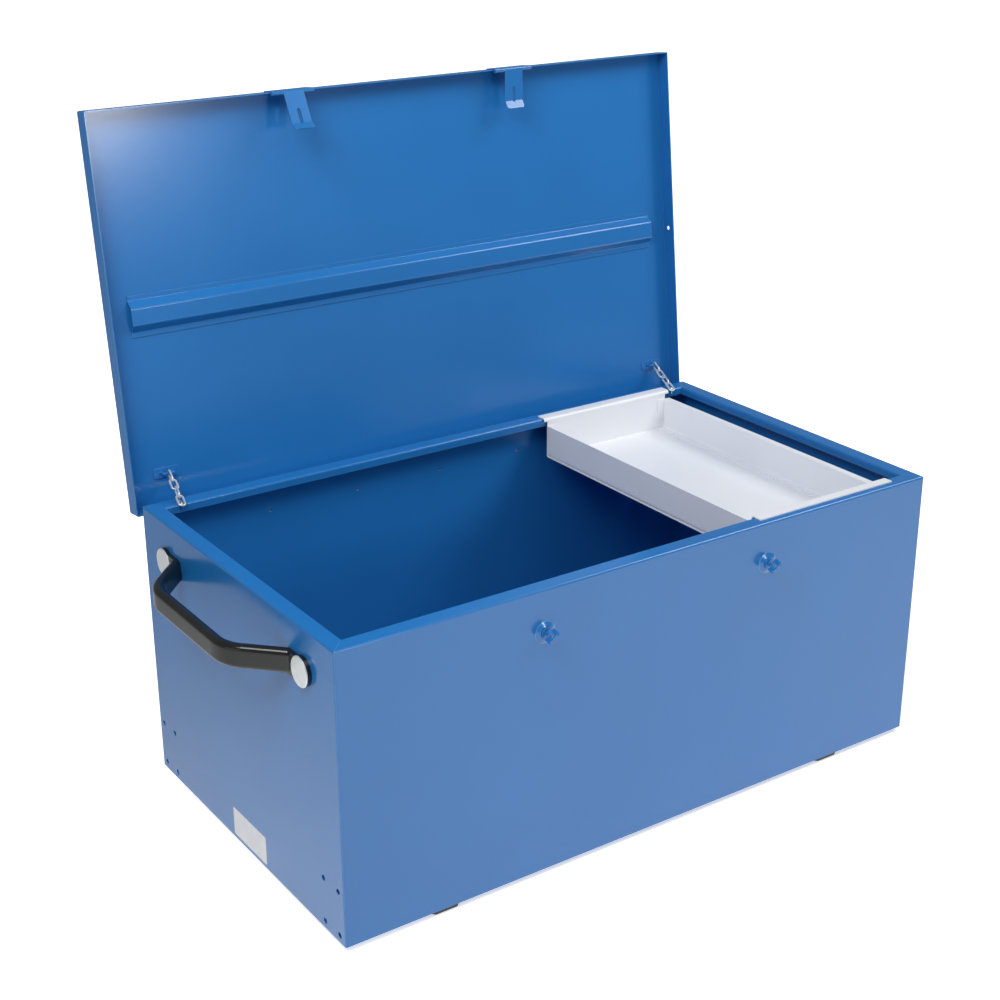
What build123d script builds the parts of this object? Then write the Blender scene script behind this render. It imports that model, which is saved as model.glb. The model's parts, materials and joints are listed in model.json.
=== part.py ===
from build123d import *
import os

# Steel toolbox with a hinged lid, two hasps, two carrying handles and a sliding tray.
# X runs along the width, -Y is the front, Z is up; the origin is the middle of the plane of the feet.

# ---------------------------------------------------------------- box
BOX_W = 760.0
BOX_D = 420.0
BOX_H = 320.0
SHEET = 1.2  # steel sheet of box, lid and tray
BEND_R = 2.5  # outer radius of a fold
CORNER_R = 2.0  # ground weld on the upright corners
RIM_W = 19.0  # flange turned inward along each wall top
RIM_LIP = 9.3  # lip turned down from the flange
FLOOR_FLANGE = 15.0
FLOOR_NOTCH = 14.0  # open corner between two floor flanges

# ---------------------------------------------------------------- feet
FOOT_W = 39.0  # square block under the floor
FOOT_H = 6.0
FOOT_TAPER = 20.0  # degrees, sides lean inward to the ground
FOOT_CORNER = 6.0  # bevel of the upright corners
FOOT_INSET_X = 118.0  # foot centre from the outer face of the end wall
FOOT_INSET_Y = 21.0  # foot centre from the outer face of the front or rear wall
FOOT_BOLT_R = 3.0
FOOT_HEAD_R = 5.5
FOOT_HEAD_H = 3.0
FOOT_NUT_AF = 10.0
FOOT_NUT_H = 5.0

# ---------------------------------------------------------------- fixing holes in the end panels
FIX_HOLE_R = 3.25
FIX_INSET_Y = 11.4  # outer column of holes from the wall face
FIX_PITCH_Y = 28.5
FIX_LOW_Z = 8.3  # lower row above the underside of the box
FIX_PITCH_Z = 50.0

# ---------------------------------------------------------------- handles
HANDLE_DROP = 44.0  # boss centre below the rim
HANDLE_PITCH = 302.0  # between the two bosses
BOSS_R = 15.5
BOSS_H = 4.5
CAP_R = 15.7
CAP_H = 1.5
GRIP_REACH = 52.0  # outer face of the grip from the wall
GRIP_STRAIGHT = 158.0  # between the corners of the bow
GRIP_T = 12.0
GRIP_H = 25.0
GRIP_BEND_R = 44.0
GRIP_ROUND = 5.5
LEG_INSET = 27.0  # the leg rises this far inside the boss centre
HANDLE_BOLT_R = 4.0
HANDLE_HEAD_AF = 13.0
HANDLE_HEAD_H = 2.6
HANDLE_NUT_H = 6.5
WASHER_R = 12.0
WASHER_T = 1.6

# ---------------------------------------------------------------- lid, drawn shut
LID_OVER_X = 3.0  # the lid reaches past the end walls
LID_OVER_Y = 6.3  # and past the front and rear walls
LID_SKIRT = 20.7
LID_GAP = 4.7  # between the rim and the inside of the lid
LID_OPEN = 96.5  # degrees, where the chains are taut
STIFF_INSET = 28.0  # end of the stiffener from the edge of the lid
STIFF_Y = 2.5  # middle of the stiffener
STIFF_TOP_W = 18.0
STIFF_BASE_W = 33.0
STIFF_FLANGE = 6.0
STIFF_DEPTH = 8.5
SIDE_HOLE_R = 2.5
SIDE_HOLE_Y = 3.5

# ---------------------------------------------------------------- piano hinge
HINGE_INSET = 10.0  # end of the hinge from the end wall
HINGE_KNUCKLES = 13
HINGE_LEAF_T = 1.2
HINGE_PIN_R = 1.85
HINGE_DROP = 16.3  # axis below the rim
HINGE_KNUCKLE_GAP = 0.6
HINGE_BOX_LEAF = 34.0
HINGE_LID_LEAF = 17.0
HINGE_CRANK = 7.0  # height of the slanted part of the box leaf
HINGE_RIVETS = 7
RIVET_R = 2.0
RIVET_HEAD_R = 3.6
RIVET_HEAD_H = 1.2
RIVET_TAIL_R = 3.0
RIVET_TAIL_H = 1.0
RIVET_TAPER = 30.0  # degrees, side of the head
RIVET_SIDES = 12

# ---------------------------------------------------------------- hasps and turn staples
HASP_INSET = 234.3  # hasp centre from the end wall
HASP_W = 24.0
HASP_T = 1.5
HASP_FLAT = 36.5  # axis to the fold of the finger lip
HASP_LIP = 10.0
HASP_LIP_ANGLE = 35.0
HASP_BARREL_R = 2.5
HASP_PIN_R = 1.25
HASP_LEAF_W = 51.0
HASP_LEAF_H = 18.0
HASP_LEAF_T = 1.2
HASP_DROP = 3.25  # axis below the edge of the skirt
HASP_SLOT_W = 4.8
HASP_SLOT_L = 18.0
HASP_TILT_LEFT = 28.0  # swung forward of plumb, lid open
HASP_TILT_RIGHT = 0.0
STAPLE_DROP = 46.5  # below the rim
ROSETTE_R = 12.0
ROSETTE_H = 2.4
ROSETTE_T = 1.0
STAPLE_SHANK_R = 4.0
COLLAR_R = 6.2
COLLAR_H = 1.2
NECK_R = 2.1  # turns inside the slot of the hasp
NECK_H = 3.9
WING_L = 15.0
WING_T = 3.8
WING_REACH = 9.5
WING_EYE_R = 2.8
WING_TURN = 45.0  # rest angle of the wing from upright
PUSH_NUT_R = 8.0
PUSH_NUT_T = 1.0

# ---------------------------------------------------------------- lid chains
CHAIN_INSET = 37.0  # hook from the end wall
CHAIN_EYE_SHIFT = 7.5  # both eyes sit this far to the right of their hooks
CHAIN_EYE_BACK = 31.5  # eyes in front of the rear wall, in the shut lid
EYE_WIRE_R = 1.5
EYE_DEPTH = 8.5
EYE_SPAN = 12.0
EYE_PLATE_L = 30.0
EYE_PLATE_W = 11.0
LINKS = 4
LINK_WIRE_R = 1.1
LINK_INNER_W = 5.0
LINK_CORNER = 0.6  # bevel of the bent end, as a share of its half width
HOOK_WIRE_R = 1.1
HOOK_HOLE_R = 1.7
HOOK_HOLE_DROP = 5.6  # below the rim
HOOK_STANDOFF = 2.8  # upright of the hook in front of the lip
HOOK_RISE = 2.6  # bar of the hook above the rim
HOOK_REACH = 8.0
HOOK_TAIL = 3.4
HOOK_BEND_R = 2.0

# ---------------------------------------------------------------- tray
TRAY_W = 186.2  # over the two end walls
TRAY_PARK = 48.8  # right end wall of the tray from the right end wall of the box, at rest
TRAY_PLAY = 1.1  # to each lip of the rim
TRAY_DEPTH = 49.5  # rim plane to the underside of the floor
TRAY_END_DROP = 9.0  # end walls stop this far below the rim plane
TRAY_HANG = 13.0  # flange resting on the rim
TRAY_EAR_LEFT = 4.5
TRAY_EAR_RIGHT = 5.8
TRAY_HEM = 6.8  # turned out along the right end wall
TRAY_TAB = 10.0
TRAY_TAB_CLEAR = 13.0  # tab stops this far above the tray floor
TRAY_RELIEF = 3.0  # notch under the ends of the flanges

# ---------------------------------------------------------------- clearances
RUN_FIT = 0.05  # radial, pins and shanks
BOLT_FIT = 0.1
SEAT_GAP = 0.3  # links and loose metal parts at rest
SWING_GAP = 0.5  # fixed metal to a turning barrel

# ---------------------------------------------------------------- places that follow
BASE_Z = FOOT_H
RIM_Z = BASE_Z + BOX_H
FRONT_Y = -BOX_D / 2
REAR_Y = BOX_D / 2
HANDLE_AXIS_Z = RIM_Z - HANDLE_DROP
STAPLE_AXIS_Z = RIM_Z - STAPLE_DROP
LID_W = BOX_W + 2 * LID_OVER_X
LID_D = BOX_D + 2 * LID_OVER_Y
LID_TOP_Z = RIM_Z + LID_GAP + SHEET
LID_INNER_Z = RIM_Z + LID_GAP
SKIRT_Z = LID_TOP_Z - LID_SKIRT
LID_FRONT_Y = -LID_D / 2
LID_REAR_Y = LID_D / 2
BARREL_R = HINGE_PIN_R + RUN_FIT + HINGE_LEAF_T
HINGE_Y = LID_REAR_Y - SHEET - HINGE_LEAF_T + BARREL_R
HINGE_Z = RIM_Z - HINGE_DROP
STIFF_L = LID_W - 2 * STIFF_INSET
HINGE_L = BOX_W - 2 * HINGE_INSET
HASP_X = BOX_W / 2 - HASP_INSET
HASP_AXIS_Y = LID_FRONT_Y - HASP_LEAF_T + HASP_BARREL_R
HASP_AXIS_Z = SKIRT_Z - HASP_DROP
CHAIN_X = BOX_W / 2 - CHAIN_INSET
CHAIN_EYE_Y = REAR_Y - CHAIN_EYE_BACK
TRAY_RIGHT = BOX_W / 2 - TRAY_PARK
TRAY_D = BOX_D - 2 * (RIM_W + SHEET + TRAY_PLAY)
SIDES = {"left": -1, "right": 1}


def folded(points, side, bend=BEND_R, thickness=SHEET):
    """Section of a folded sheet with one face on the points and the metal on one side of them."""
    face_line = FilletPolyline(*points, radius=bend)
    return make_face(offset(face_line, amount=thickness, side=side))


def along_x(section, length):
    """A section drawn in Y and Z, extruded evenly to both sides of the middle."""
    return extrude(Plane.YZ * section, amount=length / 2, both=True)


def along_y(section, length):
    """A section drawn in X and Z, extruded evenly to both sides of the middle."""
    return extrude(Plane.XZ * section, amount=length / 2, both=True)


def rod(start, end, radius):
    """Round bar between two points."""
    axis = Vector(*end) - Vector(*start)
    return extrude(Plane(Vector(*start), z_dir=axis) * Circle(radius), amount=axis.length)


def hexagon(across_flats):
    return RegularPolygon(across_flats / 2, 6, major_radius=False)


def wire_section(radius):
    """Section of thin wire: an octagon as wide over its flats as the wire."""
    return RegularPolygon(radius, 8, major_radius=False, rotation=180 / 8)


def bent_wire(path, radius):
    """Thin wire swept along a path of straight runs and arcs."""
    return sweep(Plane(path @ 0, z_dir=path % 0) * wire_section(radius), path=path)


def opened(shape):
    """Turns a piece of the shut lid back to where the chains hold it."""
    return Pos(0, HINGE_Y, HINGE_Z) * Rot(-LID_OPEN, 0, 0) * Pos(0, -HINGE_Y, -HINGE_Z) * shape


def opened_point(y, z):
    """Place in the open lid of a point of the shut lid."""
    return opened(Pos(0, y, z)).position


# ---------------------------------------------------------------- box
def wall(length):
    """Wall with flange and lip, its ends mitred at 45 degrees; the outer face lies on y = 0."""
    line = [(0, BASE_Z), (0, RIM_Z), (RIM_W, RIM_Z), (RIM_W, RIM_Z - RIM_LIP)]
    sheet = along_x(folded(line, Side.RIGHT), length)
    reach = RIM_W + SHEET
    half = length / 2
    mitre = make_face(Polyline((-half, 0), (half, 0), (half - reach, reach), (reach - half, reach), close=True))
    return sheet & extrude(mitre, amount=RIM_Z)


def rounded_outline(solid):
    return solid & extrude(RectangleRounded(BOX_W, BOX_D, CORNER_R), amount=RIM_Z)


def fixing_holes():
    """Bores along X through both end panels and the floor flanges behind them."""
    rows = [BASE_Z + FIX_LOW_Z, BASE_Z + FIX_LOW_Z + FIX_PITCH_Z]
    outer = REAR_Y - FIX_INSET_Y
    columns = [outer, outer - FIX_PITCH_Y, FIX_PITCH_Y - outer, -outer]
    return [rod((-BOX_W, y, z), (BOX_W, y, z), FIX_HOLE_R) for y in columns for z in rows]


def end_panel(sign):
    panel = rounded_outline(Pos(sign * BOX_W / 2, 0, 0) * Rot(0, 0, 90 * sign) * wall(BOX_D))
    for y in (-HANDLE_PITCH / 2, HANDLE_PITCH / 2):
        panel -= rod((0, y, HANDLE_AXIS_Z), (sign * BOX_W, y, HANDLE_AXIS_Z), HANDLE_BOLT_R + BOLT_FIT)
    return panel - fixing_holes()


def front_panel():
    panel = rounded_outline(Pos(0, FRONT_Y, 0) * wall(BOX_W))
    for sign in SIDES.values():
        x = sign * HASP_X
        panel -= rod((x, 0, STAPLE_AXIS_Z), (x, 2 * FRONT_Y, STAPLE_AXIS_Z), STAPLE_SHANK_R + RUN_FIT)
    return panel


def rear_panel():
    panel = rounded_outline(Pos(0, REAR_Y, 0) * Rot(0, 0, 180) * wall(BOX_W))
    lip_y = REAR_Y - RIM_W
    hole_z = RIM_Z - HOOK_HOLE_DROP
    for sign in SIDES.values():
        x = sign * CHAIN_X
        panel -= rod((x, lip_y - SHEET, hole_z), (x, lip_y + 2 * SHEET, hole_z), HOOK_HOLE_R)
    for x in rivet_columns():
        start, end = (x, REAR_Y - 2 * SHEET, BOX_RIVET_Z), (x, REAR_Y + SHEET, BOX_RIVET_Z)
        panel -= rod(start, end, RIVET_R + RUN_FIT)
    return panel


def foot_centres():
    x = BOX_W / 2 - FOOT_INSET_X
    y = REAR_Y - FOOT_INSET_Y
    return [(sx * x, sy * y) for sx in (-1, 1) for sy in (-1, 1)]


def floor_panel():
    """Pan with four upturned flanges that stand inside the walls."""
    width = BOX_W - 2 * SHEET
    depth = BOX_D - 2 * SHEET
    outer = Pos(0, 0, BASE_Z) * extrude(Rectangle(width, depth), amount=FLOOR_FLANGE)
    outer = fillet(outer.faces().sort_by(Axis.Z)[0].edges(), BEND_R)
    hollow = extrude(Rectangle(width - 2 * SHEET, depth - 2 * SHEET), amount=FLOOR_FLANGE)
    hollow = Pos(0, 0, BASE_Z + SHEET) * hollow
    hollow = fillet(hollow.faces().sort_by(Axis.Z)[0].edges(), BEND_R - SHEET)
    pan = outer - hollow
    notch = extrude(Rectangle(2 * FLOOR_NOTCH, 2 * FLOOR_NOTCH), amount=FLOOR_FLANGE)
    for sx in (-1, 1):
        for sy in (-1, 1):
            pan -= Pos(sx * width / 2, sy * depth / 2, BASE_Z + SHEET) * notch
    for x, y in foot_centres():
        pan -= rod((x, y, 0), (x, y, 2 * BASE_Z), FOOT_BOLT_R + BOLT_FIT)
    return pan - fixing_holes()


def feet():
    """Square blocks that narrow to the ground, with a recess for the bolt head."""
    top = Rectangle(FOOT_W, FOOT_W)
    top = chamfer(top.vertices(), FOOT_CORNER)
    pad = Pos(0, 0, FOOT_H) * extrude(top, amount=-FOOT_H, taper=FOOT_TAPER)
    pad -= extrude(Circle(FOOT_HEAD_R + SEAT_GAP), amount=FOOT_HEAD_H + SEAT_GAP)
    pad -= extrude(Circle(FOOT_BOLT_R + BOLT_FIT), amount=FOOT_H)
    return [Pos(x, y, 0) * pad for x, y in foot_centres()]


def foot_bolts():
    length = FOOT_H + SHEET + FOOT_NUT_H + 1
    head = Pos(0, 0, SEAT_GAP) * extrude(Circle(FOOT_HEAD_R), amount=FOOT_HEAD_H)
    bolt = head + Pos(0, 0, SEAT_GAP) * extrude(Circle(FOOT_BOLT_R), amount=length)
    return [Pos(x, y, 0) * bolt for x, y in foot_centres()]


def foot_nuts():
    nut = extrude(hexagon(FOOT_NUT_AF) - Circle(FOOT_BOLT_R + RUN_FIT), amount=FOOT_NUT_H)
    return [Pos(x, y, BASE_Z + SHEET) * nut for x, y in foot_centres()]


# ---------------------------------------------------------------- handles
def handle_grip(sign):
    """Moulded bow on two flat pads with round bosses, drawn in X and Y at the height of the bosses."""
    corner_x = GRIP_REACH - GRIP_T / 2
    ends_y = HANDLE_PITCH / 2 - LEG_INSET
    bow_y = GRIP_STRAIGHT / 2
    line = [(BOSS_H / 2, -ends_y), (corner_x, -bow_y), (corner_x, bow_y), (BOSS_H / 2, ends_y)]
    middle = FilletPolyline(*line, radius=GRIP_BEND_R)
    bow = make_face(offset(middle, amount=GRIP_T / 2, kind=Kind.ARC, side=Side.BOTH))
    grip = extrude(bow, amount=GRIP_H / 2, both=True)
    grip = fillet(grip.faces().sort_by(Axis.Z)[0].edges(), GRIP_ROUND)
    grip = fillet(grip.faces().sort_by(Axis.Z)[-1].edges(), GRIP_ROUND)
    grip -= Pos(-GRIP_REACH / 2, 0, 0) * Box(GRIP_REACH, 2 * HANDLE_PITCH, 2 * GRIP_H)
    for side in (-1, 1):
        y = side * HANDLE_PITCH / 2
        grip += rod((0, y, 0), (BOSS_H, y, 0), BOSS_R)
        grip += Pos(BOSS_H / 2, y - side * LEG_INSET / 2, 0) * Box(BOSS_H, LEG_INSET, GRIP_H)
    for y in (-HANDLE_PITCH / 2, HANDLE_PITCH / 2):
        grip -= rod((BOSS_H, y, 0), (GRIP_REACH, y, 0), CAP_R + SEAT_GAP)
        grip -= rod((BOSS_H - HANDLE_HEAD_H, y, 0), (GRIP_REACH, y, 0), HANDLE_HEAD_AF / 2 + 1.5)
        grip -= rod((0, y, 0), (BOSS_H, y, 0), HANDLE_BOLT_R + BOLT_FIT)
    return Pos(sign * BOX_W / 2, 0, HANDLE_AXIS_Z) * (grip if sign > 0 else mirror(grip, Plane.YZ))


def at_bosses(piece):
    """Sets a piece that is drawn along +X at each of the four handle bosses."""
    places = []
    for sign in SIDES.values():
        turn = Rot(0, 0, 0) if sign > 0 else Rot(0, 0, 180)
        for y in (-HANDLE_PITCH / 2, HANDLE_PITCH / 2):
            places.append(Pos(sign * BOX_W / 2, y, HANDLE_AXIS_Z) * turn * piece)
    return places


def handle_caps():
    cap = rod((BOSS_H, 0, 0), (BOSS_H + CAP_H, 0, 0), CAP_R)
    rim = cap.faces().sort_by(Axis.X)[-1].edges()
    return at_bosses(chamfer(rim, CAP_H / 2))


def handle_bolts():
    head = extrude(Plane.YZ * hexagon(HANDLE_HEAD_AF), amount=HANDLE_HEAD_H)
    head = Pos(BOSS_H - HANDLE_HEAD_H, 0, 0) * head
    inside = SHEET + WASHER_T + HANDLE_NUT_H + 2
    return at_bosses(head + rod((-inside, 0, 0), (BOSS_H - HANDLE_HEAD_H, 0, 0), HANDLE_BOLT_R))


def handle_washers():
    ring = Circle(WASHER_R) - Circle(HANDLE_BOLT_R + BOLT_FIT)
    return at_bosses(Pos(-SHEET - WASHER_T, 0, 0) * extrude(Plane.YZ * ring, amount=WASHER_T))


def handle_nuts():
    nut = extrude(Plane.YZ * (hexagon(HANDLE_HEAD_AF) - Circle(HANDLE_BOLT_R + RUN_FIT)), amount=HANDLE_NUT_H)
    return at_bosses(Pos(-SHEET - WASHER_T - HANDLE_NUT_H, 0, 0) * nut)


# ---------------------------------------------------------------- piano hinge
BOX_RIVET_Z = HINGE_Z - HINGE_BOX_LEAF + (HINGE_BOX_LEAF - 2 * HINGE_CRANK) / 2
LID_RIVET_Z = HINGE_Z + BARREL_R + (HINGE_LID_LEAF - BARREL_R) / 2


def rivet_columns():
    """Rivets stand evenly along the hinge, each in the middle of a knuckle."""
    pitch = HINGE_L / HINGE_KNUCKLES
    step = (HINGE_KNUCKLES - 1) // (HINGE_RIVETS - 1)
    return [(i - (HINGE_RIVETS - 1) / 2) * step * pitch for i in range(HINGE_RIVETS)]


def knuckle_middles(first):
    """Middles of every second knuckle, from the first or the second."""
    pitch = HINGE_L / HINGE_KNUCKLES
    return [(i + 0.5) * pitch - HINGE_L / 2 for i in range(first, HINGE_KNUCKLES, 2)]


def with_knuckles(leaf, own, other):
    """Adds a leaf's own barrels and cuts room for those of the other leaf."""
    pitch = HINGE_L / HINGE_KNUCKLES
    ring = along_x(Circle(BARREL_R) - Circle(HINGE_PIN_R + RUN_FIT), pitch - HINGE_KNUCKLE_GAP)
    room = along_x(Circle(BARREL_R + SWING_GAP), pitch + HINGE_KNUCKLE_GAP)
    bore = along_x(Circle(HINGE_PIN_R + RUN_FIT), HINGE_L + HINGE_KNUCKLE_GAP)
    leaf -= [Pos(x, HINGE_Y, HINGE_Z) * room for x in other]
    leaf -= Pos(0, HINGE_Y, HINGE_Z) * bore
    return leaf + [Pos(x, HINGE_Y, HINGE_Z) * ring for x in own]


def box_hinge_leaf():
    """Cranked leaf: flat on the rear wall, then out to the barrel."""
    inner = HINGE_Y - BARREL_R
    crank_z = HINGE_Z - HINGE_CRANK
    upper = [(inner, HINGE_Z), (inner, crank_z)]
    line = upper + [(REAR_Y, crank_z - HINGE_CRANK), (REAR_Y, HINGE_Z - HINGE_BOX_LEAF)]
    leaf = along_x(folded(line, Side.LEFT, thickness=HINGE_LEAF_T), HINGE_L - HINGE_KNUCKLE_GAP)
    leaf = with_knuckles(leaf, knuckle_middles(0), knuckle_middles(1))
    for x in rivet_columns():
        start, end = (x, REAR_Y - SHEET, BOX_RIVET_Z), (x, REAR_Y + 2 * SHEET, BOX_RIVET_Z)
        leaf -= rod(start, end, RIVET_R + RUN_FIT)
    return leaf


def lid_hinge_leaf():
    """Flat leaf inside the rear skirt of the lid."""
    inner = HINGE_Y - BARREL_R
    centre = Pos(inner + HINGE_LEAF_T / 2, HINGE_Z + HINGE_LID_LEAF / 2)
    plate = centre * Rectangle(HINGE_LEAF_T, HINGE_LID_LEAF)
    leaf = along_x(plate, HINGE_L - HINGE_KNUCKLE_GAP)
    leaf = with_knuckles(leaf, knuckle_middles(1), knuckle_middles(0))
    for x in rivet_columns():
        leaf -= rod((x, inner - SHEET, LID_RIVET_Z), (x, LID_REAR_Y, LID_RIVET_Z), RIVET_R + RUN_FIT)
    return leaf


def hinge_pin():
    return rod((-HINGE_L / 2, HINGE_Y, HINGE_Z), (HINGE_L / 2, HINGE_Y, HINGE_Z), HINGE_PIN_R)


def rivets(outer_y, inner_y, z):
    """Row of rivets with the head on the outer face and the tail on the inner one."""
    row = []
    for x in rivet_columns():
        outward = Plane((x, outer_y, z), z_dir=(0, 1, 0))
        rim = outward * RegularPolygon(RIVET_HEAD_R, RIVET_SIDES)
        head = extrude(rim, amount=RIVET_HEAD_H, taper=RIVET_TAPER)
        tail = extrude(outward * RegularPolygon(RIVET_TAIL_R, RIVET_SIDES), amount=-RIVET_TAIL_H)
        shank = extrude(outward * RegularPolygon(RIVET_R, RIVET_SIDES), amount=inner_y - outer_y)
        row.append(head + shank + Pos(0, inner_y - outer_y, 0) * tail)
    return row


# ---------------------------------------------------------------- lid
def lid_panel():
    """Pressed pan with a skirt on all sides; the rear skirt stops above the hinge barrel."""
    outer = Pos(0, 0, SKIRT_Z) * extrude(RectangleRounded(LID_W, LID_D, CORNER_R), amount=LID_SKIRT)
    outer = fillet(outer.faces().sort_by(Axis.Z)[-1].edges(), CORNER_R * 0.95)
    inside = extrude(Rectangle(LID_W - 2 * SHEET, LID_D - 2 * SHEET), amount=LID_SKIRT - SHEET)
    pan = outer - Pos(0, 0, SKIRT_Z) * inside
    top_cut = HINGE_Z + BARREL_R + SWING_GAP
    slot = Box(HINGE_L + 2 * SHEET, 2 * SHEET, 2 * (top_cut - SKIRT_Z))
    pan -= Pos(0, LID_REAR_Y - SHEET / 2, SKIRT_Z) * slot
    for x in rivet_columns():
        start, end = (x, LID_REAR_Y - 2 * SHEET, LID_RIVET_Z), (x, LID_REAR_Y + SHEET, LID_RIVET_Z)
        pan -= rod(start, end, RIVET_R + RUN_FIT)
    hole_z = LID_TOP_Z - LID_SKIRT / 2
    return pan - rod((0, SIDE_HOLE_Y, hole_z), (LID_W, SIDE_HOLE_Y, hole_z), SIDE_HOLE_R)


def lid_stiffener():
    """Hat section under the lid."""
    y0 = STIFF_Y - STIFF_BASE_W / 2
    y1 = STIFF_Y + STIFF_BASE_W / 2
    low = LID_INNER_Z - STIFF_DEPTH
    t0 = STIFF_Y - STIFF_TOP_W / 2
    t1 = STIFF_Y + STIFF_TOP_W / 2
    line = [(y0 - STIFF_FLANGE, LID_INNER_Z), (y0, LID_INNER_Z), (t0, low + SHEET)]
    line += [(t1, low + SHEET), (y1, LID_INNER_Z), (y1 + STIFF_FLANGE, LID_INNER_Z)]
    return along_x(folded(line, Side.RIGHT), STIFF_L)


def chain_eye(sign):
    """Wire bow on a small plate, welded to the inside of the lid."""
    top = LID_INNER_Z - SHEET
    bar = top + SHEET - EYE_DEPTH
    half = EYE_SPAN / 2
    line = [(-half, top), (-half, bar), (half, bar), (half, top)]
    path = Plane.XZ * FilletPolyline(*line, radius=EYE_WIRE_R * 2)
    bow = bent_wire(path, EYE_WIRE_R)
    plate = Pos(0, 0, top) * extrude(RectangleRounded(EYE_PLATE_L, EYE_PLATE_W, 2), amount=SHEET)
    return Pos(sign * CHAIN_X + CHAIN_EYE_SHIFT, CHAIN_EYE_Y, 0) * (bow + plate)


# ---------------------------------------------------------------- lid chains
def chain_hook(sign):
    """Wire hook through the lip of the rear rim, up in front of it and back over the rim."""
    lip_y = REAR_Y - RIM_W
    front = lip_y - HOOK_STANDOFF
    low = RIM_Z - HOOK_HOLE_DROP
    high = RIM_Z + HOOK_RISE
    behind = lip_y + SHEET + HOOK_STANDOFF
    line = [(behind, low - HOOK_TAIL), (behind, low), (front, low)]
    line += [(front, high), (front + HOOK_REACH, high)]
    path = Plane.YZ * FilletPolyline(*line, radius=HOOK_BEND_R)
    return Pos(sign * CHAIN_X, 0, 0) * bent_wire(path, HOOK_WIRE_R)


def chain(sign):
    """Taut links from the eye of the open lid to the hook; every second link is turned by 90 degrees."""
    bar = opened_point(CHAIN_EYE_Y, LID_INNER_Z - EYE_DEPTH)
    hook_y = REAR_Y - RIM_W - HOOK_STANDOFF - HOOK_WIRE_R - SEAT_GAP
    hook_z = RIM_Z + HOOK_RISE - HOOK_BEND_R
    taut = Vector(-CHAIN_EYE_SHIFT, hook_y - bar.Y, hook_z - bar.Z)
    inner = (taut.length + EYE_WIRE_R + SEAT_GAP + (LINKS - 1) * SEAT_GAP) / LINKS
    bow = LINK_INNER_W / 2 + LINK_WIRE_R
    reach = inner / 2 + LINK_WIRE_R
    corner = bow * LINK_CORNER
    side = [(corner - reach, bow), (reach - corner, bow)]
    tip = [(reach, bow - corner), (reach, corner - bow)]
    ring = Polyline((0, bow), side[1], *tip, *[(-x, -y) for x, y in side + tip], side[0], close=True)
    section = Plane((0, bow, 0), z_dir=(1, 0, 0)) * wire_section(LINK_WIRE_R)
    link = sweep(section, path=ring.wire(), transition=Transition.RIGHT)
    first = -EYE_WIRE_R - SEAT_GAP + inner / 2
    eye = Vector(sign * CHAIN_X + CHAIN_EYE_SHIFT, bar.Y, bar.Z)
    run = Plane(eye, x_dir=taut, z_dir=taut.cross(Vector(1, 0, 0))).location
    flats = [90 * ((i + 1) % 2) for i in range(LINKS)]
    places = [Pos(first + i * (inner - SEAT_GAP), 0, 0) for i in range(LINKS)]
    return [run * place * Rot(flat, 0, 0) * link for place, flat in zip(places, flats)]


# ---------------------------------------------------------------- hasps
def hasp_leaf(sign):
    """Leaf on the front skirt with the two outer barrels; the notch between them is level with the skirt."""
    centre = Pos(LID_FRONT_Y - HASP_LEAF_T / 2, HASP_AXIS_Z + HASP_LEAF_H / 2)
    plate = centre * Rectangle(HASP_LEAF_T, HASP_LEAF_H)
    barrel = Pos(HASP_AXIS_Y, HASP_AXIS_Z) * Circle(HASP_BARREL_R)
    bore = Pos(0, HASP_AXIS_Y, HASP_AXIS_Z) * along_x(Circle(HASP_PIN_R + RUN_FIT), 2 * HASP_LEAF_W)
    room = along_x(Rectangle(3 * HASP_BARREL_R, 2 * HASP_DROP), HASP_W + 2 * SEAT_GAP)
    leaf = along_x(plate + barrel, HASP_LEAF_W) - bore - Pos(0, HASP_AXIS_Y, HASP_AXIS_Z) * room
    return Pos(sign * HASP_X, 0, 0) * leaf


def hasp_pin(sign):
    half = HASP_LEAF_W / 2
    x = sign * HASP_X
    return rod((x - half, HASP_AXIS_Y, HASP_AXIS_Z), (x + half, HASP_AXIS_Y, HASP_AXIS_Z), HASP_PIN_R)


def hasp(sign, tilt):
    """Slotted plate with a finger lip, drawn hanging from its axis at the origin, then swung."""
    back = HASP_T - HASP_BARREL_R
    fold = Vector(back, -HASP_FLAT)
    tip = fold + Vector(0, -HASP_LIP).rotate(Axis.Z, -HASP_LIP_ANGLE)
    strip = folded([(back, 0), (fold.X, fold.Y), (tip.X, tip.Y)], Side.RIGHT, thickness=HASP_T)
    plate = along_x(strip, HASP_W)
    plate += along_x(Circle(HASP_BARREL_R), HASP_W)
    plate -= along_x(Circle(HASP_PIN_R + RUN_FIT), 2 * HASP_W)
    slot_z = HASP_AXIS_Z - STAPLE_AXIS_Z
    slot = extrude(Plane.XZ * SlotOverall(HASP_SLOT_L, HASP_SLOT_W, rotation=90), amount=HASP_FLAT, both=True)
    plate -= Pos(0, 0, -slot_z) * slot
    tip_edges = plate.edges().filter_by(GeomType.LINE).sort_by(Axis.Z)
    corners = [e for e in tip_edges if abs(e.length - HASP_T) < RUN_FIT][:2]
    plate = fillet(corners, HASP_LIP / 4)
    swung = Pos(0, HASP_AXIS_Y, HASP_AXIS_Z) * Rot(LID_OPEN - tilt, 0, 0) * plate
    return opened(Pos(sign * HASP_X, 0, 0) * swung)


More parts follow.
